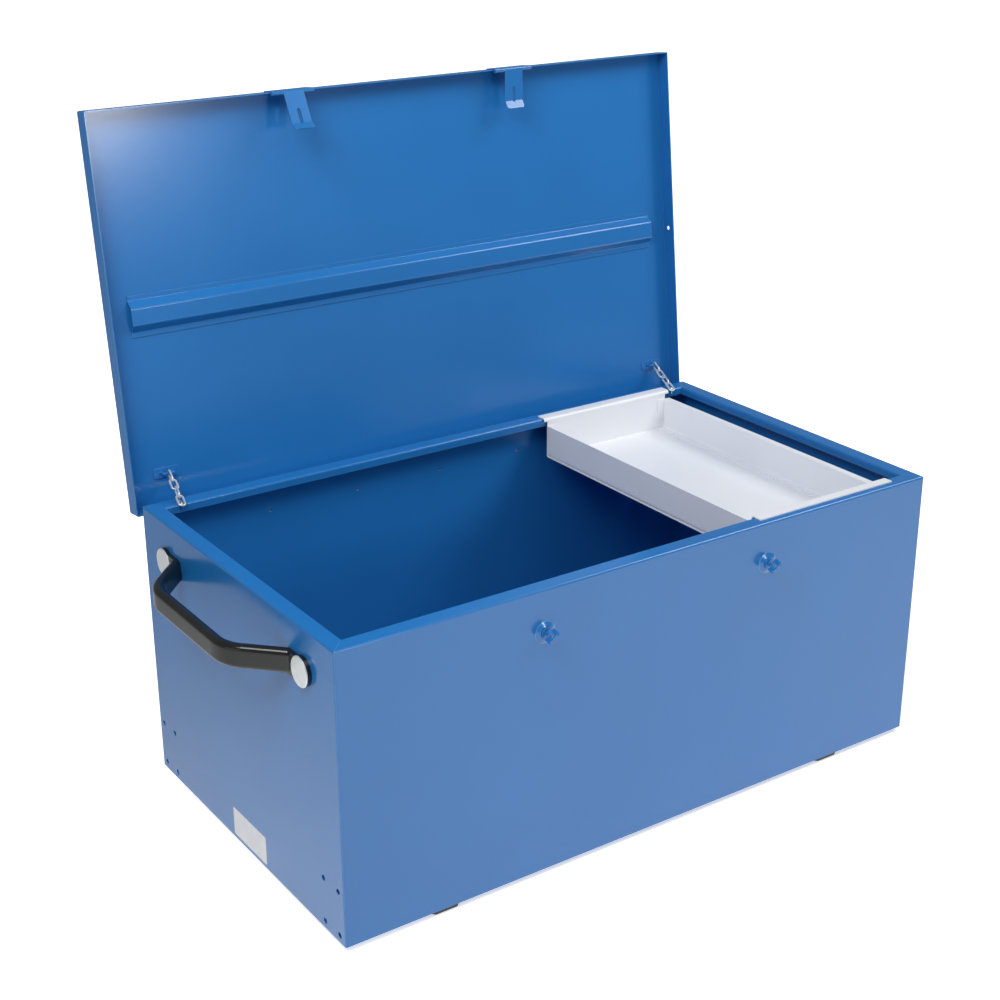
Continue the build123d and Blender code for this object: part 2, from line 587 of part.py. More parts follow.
# ---------------------------------------------------------------- turn staples
def lock_rosette(sign):
    """Dished steel rosette on the front wall."""
    low = STAPLE_SHANK_R + RUN_FIT
    step = ROSETTE_H - ROSETTE_T
    line = [(low, ROSETTE_H), (low, step), (COLLAR_R, step), (ROSETTE_R - 1, 0)]
    line += [(ROSETTE_R, 0), (COLLAR_R + 1, ROSETTE_H)]
    cup = revolve(Plane.XZ * make_face(Polyline(*line, close=True)), Axis.Z)
    return Pos(sign * HASP_X, FRONT_Y, STAPLE_AXIS_Z) * Rot(90, 0, 0) * cup


def turn_staple(sign):
    """Shank through the wall, collar, neck and flat wing with an eye, drawn along +Z and laid to the front."""
    seat = ROSETTE_H + SEAT_GAP
    inside = SHEET + SEAT_GAP + 2 * PUSH_NUT_T
    shank = Pos(0, 0, -inside) * extrude(Circle(STAPLE_SHANK_R), amount=inside + seat)
    collar = Pos(0, 0, seat) * extrude(Circle(COLLAR_R), amount=COLLAR_H)
    collar += Pos(0, 0, seat + COLLAR_H) * extrude(Circle(NECK_R), amount=NECK_H)
    outline = Rectangle(WING_L, WING_REACH, align=(Align.CENTER, Align.MIN))
    outline = fillet(outline.vertices().group_by(Axis.Y)[-1], WING_L * 0.4)
    outline = fillet(outline.vertices().group_by(Axis.Y)[0], WING_REACH * 0.15)
    outline -= Pos(0, WING_REACH / 2) * Circle(WING_EYE_R)
    wing = extrude(Plane.XZ * outline, amount=WING_T / 2, both=True)
    staple = shank + collar + Pos(0, 0, seat + COLLAR_H + NECK_H) * wing
    return Pos(sign * HASP_X, FRONT_Y, STAPLE_AXIS_Z) * Rot(0, WING_TURN - 90, 0) * Rot(90, 0, 0) * staple


def push_nut(sign):
    ring = extrude(Circle(PUSH_NUT_R) - Circle(STAPLE_SHANK_R + RUN_FIT), amount=PUSH_NUT_T)
    inner = FRONT_Y + SHEET + SEAT_GAP + PUSH_NUT_T
    return Pos(sign * HASP_X, inner, STAPLE_AXIS_Z) * Rot(90, 0, 0) * ring


# ---------------------------------------------------------------- tray
TRAY_LEFT = TRAY_RIGHT - TRAY_W
TRAY_BOTTOM = RIM_Z - TRAY_DEPTH
TRAY_FLOOR = TRAY_BOTTOM + SHEET
TRAY_END_TOP = RIM_Z - TRAY_END_DROP


def tray_pan():
    """Front wall, floor and rear wall in one sheet, with a flange over each rim."""
    half = TRAY_D / 2
    wide = half + TRAY_HANG
    line = [(-wide, RIM_Z), (-half, RIM_Z), (-half, TRAY_BOTTOM)]
    line += [(half, TRAY_BOTTOM), (half, RIM_Z), (wide, RIM_Z)]
    length = TRAY_EAR_LEFT + TRAY_W + TRAY_EAR_RIGHT
    middle = TRAY_LEFT - TRAY_EAR_LEFT + length / 2
    pan = Pos(middle, 0, 0) * along_x(folded(line, Side.LEFT), length)
    top_cut = RIM_Z - TRAY_RELIEF
    left_cut = extrude(Rectangle(TRAY_EAR_LEFT, BOX_D, align=(Align.MAX, Align.CENTER)), amount=top_cut)
    right_cut = extrude(Rectangle(TRAY_EAR_RIGHT, BOX_D, align=(Align.MIN, Align.CENTER)), amount=top_cut)
    return pan - Pos(TRAY_LEFT, 0, 0) * left_cut - Pos(TRAY_RIGHT, 0, 0) * right_cut


def tray_end(hem):
    """End wall with a foot flange, two corner tabs and, if wanted, a hem turned out; its inner face is x = 0."""
    top = [(hem + SHEET, TRAY_END_TOP), (0, TRAY_END_TOP)] if hem else [(0, TRAY_END_TOP)]
    line = top + [(0, TRAY_FLOOR + SHEET), (-TRAY_TAB, TRAY_FLOOR + SHEET)]
    depth = TRAY_D - 2 * SHEET
    end = along_y(folded(line, Side.LEFT), depth)
    corner = BEND_R - SHEET
    hollow = Pos(0, 0, TRAY_FLOOR) * extrude(Rectangle(4 * TRAY_TAB, depth), amount=TRAY_DEPTH)
    hollow = fillet(hollow.faces().sort_by(Axis.Z)[0].edges().filter_by(Axis.X), corner)
    end &= hollow
    tab_h = TRAY_END_TOP - TRAY_FLOOR - TRAY_TAB_CLEAR
    tab = extrude(Plane.XZ * Rectangle(TRAY_TAB, tab_h, align=(Align.MAX, Align.MAX)), amount=SHEET)
    tab = fillet(tab.edges().filter_by(Axis.Y).group_by(Axis.X)[0], SHEET * 2)
    end += Pos(0, SHEET - depth / 2, TRAY_END_TOP) * tab
    return end + Pos(0, depth / 2, TRAY_END_TOP) * tab


def write(name, pieces):
    """Writes one node; a list becomes a group of separate solids."""
    solids = []
    for piece in pieces if isinstance(pieces, list) else [pieces]:
        solids += piece.solids()
    export_step(Compound(children=solids) if len(solids) > 1 else solids[0], f"parts/{name}.step")


os.makedirs("parts", exist_ok=True)
write("front_panel", front_panel())
write("rear_panel", rear_panel())
write("floor_panel", floor_panel())
write("feet", feet())
write("foot_bolts", foot_bolts())
write("foot_nuts", foot_nuts())
write("handle_caps", handle_caps())
write("handle_bolts", handle_bolts())
write("handle_washers", handle_washers())
write("handle_nuts", handle_nuts())
write("box_hinge_leaf", box_hinge_leaf())
write("hinge_pin", hinge_pin())
write("box_hinge_rivets", rivets(REAR_Y + HINGE_LEAF_T, REAR_Y - SHEET, BOX_RIVET_Z))
write("lid_hinge_leaf", opened(lid_hinge_leaf()))
lid_rivets = rivets(LID_REAR_Y, HINGE_Y - BARREL_R, LID_RIVET_Z)
write("lid_hinge_rivets", [opened(rivet) for rivet in lid_rivets])
write("lid_panel", opened(lid_panel()))
write("lid_stiffener", opened(lid_stiffener()))
tilts = {"left": HASP_TILT_LEFT, "right": HASP_TILT_RIGHT}
for side, sign in SIDES.items():
    write(f"end_panel_{side}", end_panel(sign))
    write(f"handle_grip_{side}", handle_grip(sign))
    write(f"chain_eye_{side}", opened(chain_eye(sign)))
    write(f"chain_hook_{side}", chain_hook(sign))
    write(f"chain_{side}", chain(sign))
    write(f"hasp_leaf_{side}", opened(hasp_leaf(sign)))
    write(f"hasp_pin_{side}", opened(hasp_pin(sign)))
    write(f"hasp_{side}", hasp(sign, tilts[side]))
    write(f"lock_rosette_{side}", lock_rosette(sign))
    write(f"turn_staple_{side}", turn_staple(sign))
    write(f"push_nut_{side}", push_nut(sign))
write("tray_pan", tray_pan())
write("tray_end_right", Pos(TRAY_RIGHT - SHEET, 0, 0) * tray_end(TRAY_HEM))
write("tray_end_left", Pos(TRAY_LEFT + SHEET, 0, 0) * mirror(tray_end(0), Plane.YZ))
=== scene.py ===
"""Steel toolbox with a chained lid, hasps, bow handles and a sliding tray: finishes, small fittings and studio."""

import json
import math

import bmesh
import bpy
import numpy as np
from bpy.props import FloatProperty, FloatVectorProperty, IntProperty, PointerProperty
from mathutils import Matrix, Vector


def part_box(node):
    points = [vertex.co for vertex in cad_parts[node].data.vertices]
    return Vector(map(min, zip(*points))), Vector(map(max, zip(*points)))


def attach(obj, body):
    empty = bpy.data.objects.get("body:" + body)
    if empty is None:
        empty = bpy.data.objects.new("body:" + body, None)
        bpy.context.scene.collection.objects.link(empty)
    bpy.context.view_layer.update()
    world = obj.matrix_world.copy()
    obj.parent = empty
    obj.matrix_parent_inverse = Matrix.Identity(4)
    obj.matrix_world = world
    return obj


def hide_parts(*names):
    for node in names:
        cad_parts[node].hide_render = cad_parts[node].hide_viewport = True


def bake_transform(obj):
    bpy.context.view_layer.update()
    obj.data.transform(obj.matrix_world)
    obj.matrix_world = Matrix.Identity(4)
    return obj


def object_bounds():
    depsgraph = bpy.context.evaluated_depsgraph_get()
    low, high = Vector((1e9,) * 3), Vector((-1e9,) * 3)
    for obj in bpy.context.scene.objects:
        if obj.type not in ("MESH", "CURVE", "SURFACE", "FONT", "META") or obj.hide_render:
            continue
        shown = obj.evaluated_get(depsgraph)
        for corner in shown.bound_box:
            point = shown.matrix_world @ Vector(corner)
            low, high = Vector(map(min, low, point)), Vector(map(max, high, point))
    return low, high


bl_info = {
    "name": "Toolbox with Tray",
    "version": (1, 0, 0),
    "blender": (4, 5, 0),
    "location": "View3D > Sidebar > Toolbox",
    "description": "Dresses the sheet-steel toolbox and sets up its studio",
    "category": "Object",
}

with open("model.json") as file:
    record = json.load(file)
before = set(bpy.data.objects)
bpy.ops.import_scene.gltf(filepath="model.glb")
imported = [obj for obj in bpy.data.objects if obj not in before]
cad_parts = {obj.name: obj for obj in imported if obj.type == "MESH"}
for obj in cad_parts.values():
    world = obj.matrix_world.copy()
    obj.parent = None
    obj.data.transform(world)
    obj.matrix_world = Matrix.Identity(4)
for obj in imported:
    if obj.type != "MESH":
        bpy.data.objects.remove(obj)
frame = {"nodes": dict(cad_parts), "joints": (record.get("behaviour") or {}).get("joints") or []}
CAD_LOW, CAD_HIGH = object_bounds()
WALL_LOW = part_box("end_panel_left")[0]
MM = 0.001
FLOOR_EXTENT = 12.0  # half the width of the floor
FLOOR_GREY = 0.93
FLOOR_DROP = 0.2 * MM  # floor below the feet, so that the two don't fight
POOL_MIDDLE = (0.3, -0.7, 0.0)  # the part of the floor that glossy pieces mirror
POOL_EDGES = (0.5, 1.8)  # full inside the first radius, gone at the second
POOL_LEVEL = 0.9
FLOOR_SEEN = (0.5, 0.65)  # white for the camera: near the box, and what is added far from it
CLIP_END = 50.0

BLUE_NODES = [
    "front_panel", "rear_panel", "floor_panel", "end_panel_left", "end_panel_right",
    "lid_panel", "lid_stiffener", "box_hinge_leaf", "lid_hinge_leaf",
    "chain_eye_left", "chain_eye_right", "hasp_leaf_left", "hasp_leaf_right",
    "hasp_left", "hasp_right",
    "lock_rosette_left", "lock_rosette_right", "turn_staple_left", "turn_staple_right",
]
TRAY_NODES = ["tray_pan", "tray_end_left", "tray_end_right"]
GRIP_NODES = ["handle_grip_left", "handle_grip_right"]
ZINC_NODES = [
    "foot_bolts", "foot_nuts", "handle_bolts", "handle_washers", "handle_nuts", "hinge_pin",
    "chain_hook_left", "chain_hook_right", "hasp_pin_left", "hasp_pin_right",
    "push_nut_left", "push_nut_right",
]


# ---------------------------------------------------------------- sizes and colours a user would change
class ToolboxPaint(bpy.types.PropertyGroup):
    blue: FloatVectorProperty(
        name="Blue coat", description="Colour of the powder coat on box and lid", subtype="COLOR",
        default=(0.016, 0.165, 0.470), min=0, max=1)
    blue_roughness: FloatProperty(
        name="Blue gloss", description="Roughness of the blue coat", default=0.20, min=0, max=1)
    white: FloatVectorProperty(
        name="Tray coat", description="Colour of the coat on the tray", subtype="COLOR",
        default=(0.80, 0.82, 0.86), min=0, max=1)
    black: FloatVectorProperty(
        name="Grip plastic", description="Colour of the moulded grips", subtype="COLOR",
        default=(0.010, 0.011, 0.010), min=0, max=1)
    zinc: FloatVectorProperty(
        name="Zinc", description="Colour of plated steel", subtype="COLOR",
        default=(0.66, 0.69, 0.70), min=0, max=1)
    rubber: FloatVectorProperty(
        name="Foot rubber", description="Colour of the feet", subtype="COLOR",
        default=(0.020, 0.021, 0.024), min=0, max=1)
    paper: FloatVectorProperty(
        name="Sticker paper", description="Colour of the blank sticker", subtype="COLOR",
        default=(0.87, 0.88, 0.91), min=0, max=1)


class ToolboxSizes(bpy.types.PropertyGroup):
    links: IntProperty(name="Links", description="Links in each lid chain", default=4, min=2, max=12)
    link_wire: FloatProperty(
        name="Link wire", description="Radius of the chain wire", default=1.1 * MM, min=0.0002, unit="LENGTH")
    link_width: FloatProperty(
        name="Link width", description="Inner width of a link", default=5 * MM, min=0.001, unit="LENGTH")
    link_gap: FloatProperty(
        name="Link play", description="Play between two links", default=0.3 * MM, min=0, unit="LENGTH")
    rivets: IntProperty(name="Rivets", description="Rivets in each hinge leaf", default=7, min=2, max=30)
    rivet_dome: FloatProperty(
        name="Rivet dome", description="Height of a rivet head", default=1.2 * MM, min=0.0002, unit="LENGTH")
    sticker_width: FloatProperty(
        name="Sticker width", description="Width of the blank sticker", default=74 * MM, min=0.01, unit="LENGTH")
    sticker_height: FloatProperty(
        name="Sticker height", description="Height of the blank sticker", default=33 * MM, min=0.01, unit="LENGTH")
    sticker_forward: FloatProperty(
        name="Sticker place", description="Middle of the sticker in front of the box's middle", default=9.5 * MM,
        unit="LENGTH")
    sticker_rise: FloatProperty(
        name="Sticker rise", description="Lower edge of the sticker above the wall's edge", default=4 * MM,
        unit="LENGTH")


class ToolboxStudio(bpy.types.PropertyGroup):
    azimuth: FloatProperty(
        name="Camera azimuth", description="Turn of the view to the box's left", default=math.radians(34.44),
        subtype="ANGLE")
    elevation: FloatProperty(
        name="Camera elevation", description="Height angle of the view", default=math.radians(22.07),
        subtype="ANGLE")
    roll: FloatProperty(name="Camera roll", description="Roll of the view", default=math.radians(-0.12),
                        subtype="ANGLE")
    field: FloatProperty(
        name="Field of view", description="Angle across the picture", default=math.radians(32.16), subtype="ANGLE")
    distance: FloatProperty(
        name="Camera distance", description="From the camera to its target", default=1.883, unit="LENGTH")
    target: FloatVectorProperty(
        name="Camera target", description="Point in the middle of the view", default=(-0.0549, 0.0, 0.3277),
        subtype="XYZ", unit="LENGTH")
    ambient: FloatProperty(name="Ambient", description="Level of the light from all round", default=0.20, min=0)
    right: FloatProperty(name="Right softbox", description="Power of the softbox above the right end", default=16.5,
                         min=0, unit="POWER")
    left: FloatProperty(name="Left softbox", description="Power of the softbox above the left end", default=18.5,
                        min=0, unit="POWER")
    front: FloatProperty(name="Front softbox", description="Power of the softbox above and in front", default=4.5,
                         min=0, unit="POWER")
    glint: FloatProperty(name="Glint lamp", description="Power of the small lamp mirrored in the lid", default=5.5,
                         min=0, unit="POWER")
    fill: FloatProperty(name="Fill lamp", description="Power of the low lamp at the left", default=2.1, min=0,
                        unit="POWER")


# ---------------------------------------------------------------- shader building blocks
def new_group(name, inputs, outputs):
    """Shader node group with named inputs, given as name, socket kind and value, and named outputs."""
    tree = bpy.data.node_groups.new(name, "ShaderNodeTree")
    for label, kind, value in inputs:
        socket = tree.interface.new_socket(name=label, in_out="INPUT", socket_type=kind)
        if value is not None:
            socket.default_value = value
    for label, kind in outputs:
        tree.interface.new_socket(name=label, in_out="OUTPUT", socket_type=kind)
    return tree, tree.nodes.new("NodeGroupInput"), tree.nodes.new("NodeGroupOutput")


def maths(tree, operation, a, b=None, clamp=False):
    """Math node fed by sockets or numbers; returns its output."""
    step = tree.nodes.new("ShaderNodeMath")
    step.operation = operation
    step.use_clamp = clamp
    for socket, value in zip(step.inputs, (a, b)):
        if value is None:
            continue
        if isinstance(value, bpy.types.NodeSocket):
            tree.links.new(value, socket)
        else:
            socket.default_value = value
    return step.outputs[0]


def noise(tree, vector, scale, detail=2.0, roughness=0.5):
    """Noise texture on given coordinates; the scale is a number or a socket."""
    texture = tree.nodes.new("ShaderNodeTexNoise")
    tree.links.new(vector, texture.inputs["Vector"])
    if isinstance(scale, bpy.types.NodeSocket):
        tree.links.new(scale, texture.inputs["Scale"])
    else:
        texture.inputs["Scale"].default_value = scale
    texture.inputs["Detail"].default_value = detail
    texture.inputs["Roughness"].default_value = roughness
    return texture.outputs["Fac"]


def spread(tree, value, low, high):
    """Maps a value from 0..1 to low..high."""
    mapped = tree.nodes.new("ShaderNodeMapRange")
    tree.links.new(value, mapped.inputs["Value"])
    mapped.inputs["To Min"].default_value = low
    mapped.inputs["To Max"].default_value = high
    return mapped.outputs["Result"]


def orange_peel_group():
    """Fine waviness of a sprayed or baked coat: a height and a soft tone that drifts over the panel."""
    inputs = [("Vector", "NodeSocketVector", None), ("Cell", "NodeSocketFloat", 0.0025)]
    outputs = [("Height", "NodeSocketFloat"), ("Drift", "NodeSocketFloat")]
    tree, given, result = new_group("orange_peel", inputs, outputs)
    per_metre = maths(tree, "DIVIDE", 1.0, given.outputs["Cell"])
    fine = noise(tree, given.outputs["Vector"], per_metre, 1.0)
    broad = noise(tree, given.outputs["Vector"], 7.0, 2.0)
    tree.links.new(fine, result.inputs["Height"])
    tree.links.new(broad, result.inputs["Drift"])
    return tree


def edge_group():
    """Mask that is 1 on outer edges within a given width and 0 on open faces, broken up by noise."""
    inputs = [("Vector", "NodeSocketVector", None), ("Width", "NodeSocketFloat", 0.001)]
    tree, given, result = new_group("edge_mask", inputs, [("Mask", "NodeSocketFloat")])
    bevel = tree.nodes.new("ShaderNodeBevel")
    bevel.samples = 4
    tree.links.new(given.outputs["Width"], bevel.inputs["Radius"])
    surface = tree.nodes.new("ShaderNodeNewGeometry")
    dot = tree.nodes.new("ShaderNodeVectorMath")
    dot.operation = "DOT_PRODUCT"
    tree.links.new(bevel.outputs["Normal"], dot.inputs[0])
    tree.links.new(surface.outputs["Normal"], dot.inputs[1])
    turned = maths(tree, "SUBTRACT", 1.0, dot.outputs["Value"])
    patchy = noise(tree, given.outputs["Vector"], 60.0, 3.0)
    strong = maths(tree, "MULTIPLY", turned, 6.0)
    tree.links.new(maths(tree, "MULTIPLY", strong, patchy, clamp=True), result.inputs["Mask"])
    return tree


def scuff_group():
    """Fine hairline scratches and handling marks in two directions."""
    inputs = [("Vector", "NodeSocketVector", None), ("Density", "NodeSocketFloat", 40.0)]
    tree, given, result = new_group("scuffs", inputs, [("Mask", "NodeSocketFloat")])
    masks = []
    for turn in ((0.3, 0.5, 0.9), (1.2, 0.2, -0.7)):
        mapping = tree.nodes.new("ShaderNodeMapping")
        mapping.inputs["Rotation"].default_value = turn
        mapping.inputs["Scale"].default_value = (1.0, 14.0, 1.0)
        tree.links.new(given.outputs["Vector"], mapping.inputs["Vector"])
        value = noise(tree, mapping.outputs["Vector"], given.outputs["Density"], 2.0)
        masks.append(maths(tree, "GREATER_THAN", value, 0.72))
    tree.links.new(maths(tree, "MAXIMUM", masks[0], masks[1]), result.inputs["Mask"])
    return tree


GROUP_MAKERS = {"orange_peel": orange_peel_group, "edge_mask": edge_group, "scuffs": scuff_group}


def use_group(tree, name, vector, **values):
    """Places a shared group in a material and feeds it with coordinates and numbers."""
    placed = tree.nodes.new("ShaderNodeGroup")
    placed.node_tree = bpy.data.node_groups.get(name) or GROUP_MAKERS[name]()
    tree.links.new(vector, placed.inputs["Vector"])
    for label, value in values.items():
        placed.inputs[label].default_value = value
    return placed


def new_material(name):
    """Material with a Principled shader and Object coordinates."""
    material = bpy.data.materials.new(name)
    material.use_nodes = True
    tree = material.node_tree
    shader = tree.nodes["Principled BSDF"]
    place = tree.nodes.new("ShaderNodeTexCoord").outputs["Object"]
    return material, tree, shader, place


def tint(tree, colour, factor, low, high, mask=None, mask_colour=None):
    """Colour whose brightness drifts between low and high, with another colour where a mask says so; the coats use
    that for a highlight painted along their folds.
    """
    drift = tree.nodes.new("ShaderNodeMix")
    drift.data_type = "RGBA"
    drift.inputs["A"].default_value = (*[c * low for c in colour], 1)
    drift.inputs["B"].default_value = (*[min(1, c * high) for c in colour], 1)
    tree.links.new(factor, drift.inputs["Factor"])
    if mask is None:
        return drift.outputs["Result"]
    # painted highlight: the masked colour is laid on bends and edges in place of the light they catch
    edge_highlight = tree.nodes.new("ShaderNodeMix")
    edge_highlight.data_type = "RGBA"
    tree.links.new(mask, edge_highlight.inputs["Factor"])
    tree.links.new(drift.outputs["Result"], edge_highlight.inputs["A"])
    edge_highlight.inputs["B"].default_value = (*mask_colour, 1)
    return edge_highlight.outputs["Result"]


def raise_surface(tree, shader, height, strength, distance):
    """Feeds a height to the shader's normal."""
    bump = tree.nodes.new("ShaderNodeBump")
    bump.inputs["Strength"].default_value = strength
    bump.inputs["Distance"].default_value = distance
    tree.links.new(height, bump.inputs["Height"])
    tree.links.new(bump.outputs["Normal"], shader.inputs["Normal"])


def powder_coat(name, colour, roughness, fold_highlight_colour, peel=2.4 * MM, edge_share=0.6):
    """Baked coat on sheet steel: slight drift of tone, orange peel, and a paler colour painted along the folds as a
    highlight.
    """
    material, tree, shader, place = new_material(name)
    skin = use_group(tree, "orange_peel", place, Cell=peel)
    # Painted highlight: the edge mask puts a paler colour on the folds, where bends would catch the light
    edges = use_group(tree, "edge_mask", place, Width=1.0 * MM)
    mask = maths(tree, "MULTIPLY", edges.outputs["Mask"], edge_share)
    colour_out = tint(tree, colour, skin.outputs["Drift"], 0.93, 1.07, mask, fold_highlight_colour)
    tree.links.new(colour_out, shader.inputs["Base Color"])
    gloss = spread(tree, skin.outputs["Drift"], roughness * 0.85, roughness * 1.15)
    tree.links.new(gloss, shader.inputs["Roughness"])
    shader.inputs["Specular IOR Level"].default_value = 0.55
    raise_surface(tree, shader, skin.outputs["Height"], 0.10, 0.0004)
    return material


def plated_steel(name, colour, roughness, metallic=1.0):
    """Bright zinc plate with a cloudy tone and fine scratches; a milky passivated plate is less metallic."""
    material, tree, shader, place = new_material(name)
    cloud = noise(tree, place, 220.0, 3.0)
    marks = use_group(tree, "scuffs", place, Density=300.0)
    tree.links.new(tint(tree, colour, cloud, 0.86, 1.08), shader.inputs["Base Color"])
    gloss = spread(tree, cloud, roughness * 0.8, roughness * 1.3)
    tree.links.new(maths(tree, "ADD", gloss, maths(tree, "MULTIPLY", marks.outputs["Mask"], 0.12)),
                   shader.inputs["Roughness"])
    shader.inputs["Metallic"].default_value = metallic
    raise_surface(tree, shader, cloud, 0.08, 0.0002)
    return material


def moulded_plastic(name, colour, roughness):
    """Glossy moulded grip with faint flow marks and handling scratches."""
    material, tree, shader, place = new_material(name)
    flow = noise(tree, place, 45.0, 2.0)
    marks = use_group(tree, "scuffs", place, Density=90.0)
    tree.links.new(tint(tree, colour, flow, 0.7, 1.6), shader.inputs["Base Color"])
    gloss = spread(tree, flow, roughness * 0.8, roughness * 1.25)
    tree.links.new(maths(tree, "ADD", gloss, maths(tree, "MULTIPLY", marks.outputs["Mask"], 0.10)),
                   shader.inputs["Roughness"])
    raise_surface(tree, shader, flow, 0.12, 0.0006)
    return material


def moulded_rubber(name, colour):
    """Dull black rubber with a fine grain."""
    material, tree, shader, place = new_material(name)
    grain = noise(tree, place, 900.0, 2.0)
    tree.links.new(tint(tree, colour, grain, 0.7, 1.5), shader.inputs["Base Color"])
    tree.links.new(spread(tree, grain, 0.55, 0.8), shader.inputs["Roughness"])
    raise_surface(tree, shader, grain, 0.3, 0.0002)
    return material


def sticker_paper(name, colour):
    """Matt label paper with faint fibres and a grey tone that drifts."""
    material, tree, shader, place = new_material(name)
    fibre = noise(tree, place, 500.0, 4.0, 0.7)
    cloud = noise(tree, place, 60.0, 2.0)
    fine, broad = maths(tree, "MULTIPLY", fibre, 0.3), maths(tree, "MULTIPLY", cloud, 0.7)
    mixed = maths(tree, "ADD", fine, broad)
    tree.links.new(tint(tree, colour, mixed, 0.85, 1.15), shader.inputs["Base Color"])
    tree.links.new(spread(tree, fibre, 0.45, 0.6), shader.inputs["Roughness"])
    raise_surface(tree, shader, fibre, 0.1, 0.0001)
    return material


def finish_nodes(names, material):
    """Gives CAD nodes one material."""
    for name in names:
        mesh = frame["nodes"][name].data
        mesh.materials.clear()
        mesh.materials.append(material)


# ---------------------------------------------------------------- geometry building blocks
def geometry_tree(name, inputs):
    """Geometry node tree with named inputs and a mesh output."""
    tree = bpy.data.node_groups.new(name, "GeometryNodeTree")
    tree.interface.new_socket(name="Geometry", in_out="INPUT", socket_type="NodeSocketGeometry")
    for label, kind, value in inputs:
        socket = tree.interface.new_socket(name=label, in_out="INPUT", socket_type=kind)
        if value is not None:
            socket.default_value = value
    tree.interface.new_socket(name="Geometry", in_out="OUTPUT", socket_type="NodeSocketGeometry")
    return tree, tree.nodes.new("NodeGroupInput"), tree.nodes.new("NodeGroupOutput")


def finish_tree(tree, given, result, geometry):
    """Ends a tree in real geometry with the chosen material."""
    real = tree.nodes.new("GeometryNodeRealizeInstances")
    coat = tree.nodes.new("GeometryNodeSetMaterial")
    smooth = tree.nodes.new("GeometryNodeSetShadeSmooth")
    tree.links.new(geometry, real.inputs[0])
    tree.links.new(real.outputs[0], smooth.inputs["Geometry"])
    tree.links.new(smooth.outputs[0], coat.inputs["Geometry"])
    tree.links.new(given.outputs["Material"], coat.inputs["Material"])
    tree.links.new(coat.outputs[0], result.inputs["Geometry"])


def baked(name, tree, values):
    """Runs a geometry tree with given values and returns the result as a plain mesh object."""
    holder = bpy.data.objects.new(name + "_tree", bpy.data.meshes.new(name + "_tree"))
    bpy.context.scene.collection.objects.link(holder)
    modifier = holder.modifiers.new("build", "NODES")
    modifier.node_group = tree
    for item in tree.interface.items_tree:
        if item.item_type == "SOCKET" and item.in_out == "INPUT" and item.name in values:
            modifier[item.identifier] = values[item.name]
    graph = bpy.context.evaluated_depsgraph_get()
    mesh = bpy.data.meshes.new_from_object(holder.evaluated_get(graph))
    bpy.data.objects.remove(holder)
    if not mesh.polygons:
        raise RuntimeError(name + " came out empty")
    mesh.name = name
    piece = bpy.data.objects.new(name, mesh)
    bpy.context.scene.collection.objects.link(piece)
    return piece


def chain_tree():
    """Row of oval links along X, every second one turned by a quarter."""
    inputs = [
        ("Links", "NodeSocketInt", 4), ("Inner length", "NodeSocketFloat", 14 * MM),
        ("Width", "NodeSocketFloat", 5 * MM), ("Wire", "NodeSocketFloat", 1.1 * MM),
        ("Play", "NodeSocketFloat", 0.3 * MM), ("Material", "NodeSocketMaterial", None),
    ]
    tree, given, result = geometry_tree("lid_chain", inputs)
    thick = maths(tree, "MULTIPLY", given.outputs["Wire"], 2.0)
    long_side = maths(tree, "ADD", given.outputs["Inner length"], thick)
    short_side = maths(tree, "ADD", given.outputs["Width"], thick)
    oval = tree.nodes.new("GeometryNodeCurvePrimitiveQuadrilateral")
    tree.links.new(long_side, oval.inputs["Width"])
    tree.links.new(short_side, oval.inputs["Height"])
    rounded = tree.nodes.new("GeometryNodeFilletCurve")
    rounded.mode = "POLY"
    rounded.inputs["Count"].default_value = 9
    tree.links.new(oval.outputs[0], rounded.inputs["Curve"])
    tree.links.new(maths(tree, "MULTIPLY", short_side, 0.499), rounded.inputs["Radius"])
    wire = tree.nodes.new("GeometryNodeCurvePrimitiveCircle")
    wire.inputs["Resolution"].default_value = 14
    tree.links.new(given.outputs["Wire"], wire.inputs["Radius"])
    link = tree.nodes.new("GeometryNodeCurveToMesh")
    tree.links.new(rounded.outputs[0], link.inputs["Curve"])
    tree.links.new(wire.outputs[0], link.inputs["Profile Curve"])
    pitch = maths(tree, "SUBTRACT", given.outputs["Inner length"], given.outputs["Play"])
    step = tree.nodes.new("ShaderNodeCombineXYZ")
    tree.links.new(pitch, step.inputs["X"])
    row = tree.nodes.new("GeometryNodeMeshLine")
    tree.links.new(given.outputs["Links"], row.inputs["Count"])
    tree.links.new(step.outputs[0], row.inputs["Offset"])
    odd = maths(tree, "MODULO", tree.nodes.new("GeometryNodeInputIndex").outputs[0], 2.0)
    turn = tree.nodes.new("ShaderNodeCombineXYZ")
    tree.links.new(maths(tree, "MULTIPLY", odd, math.pi / 2), turn.inputs["X"])
    euler = tree.nodes.new("FunctionNodeEulerToRotation")
    tree.links.new(turn.outputs[0], euler.inputs[0])
    copies = tree.nodes.new("GeometryNodeInstanceOnPoints")
    tree.links.new(row.outputs[0], copies.inputs["Points"])
    tree.links.new(link.outputs[0], copies.inputs["Instance"])
    tree.links.new(euler.outputs[0], copies.inputs["Rotation"])
    finish_tree(tree, given, result, copies.outputs[0])
    return tree


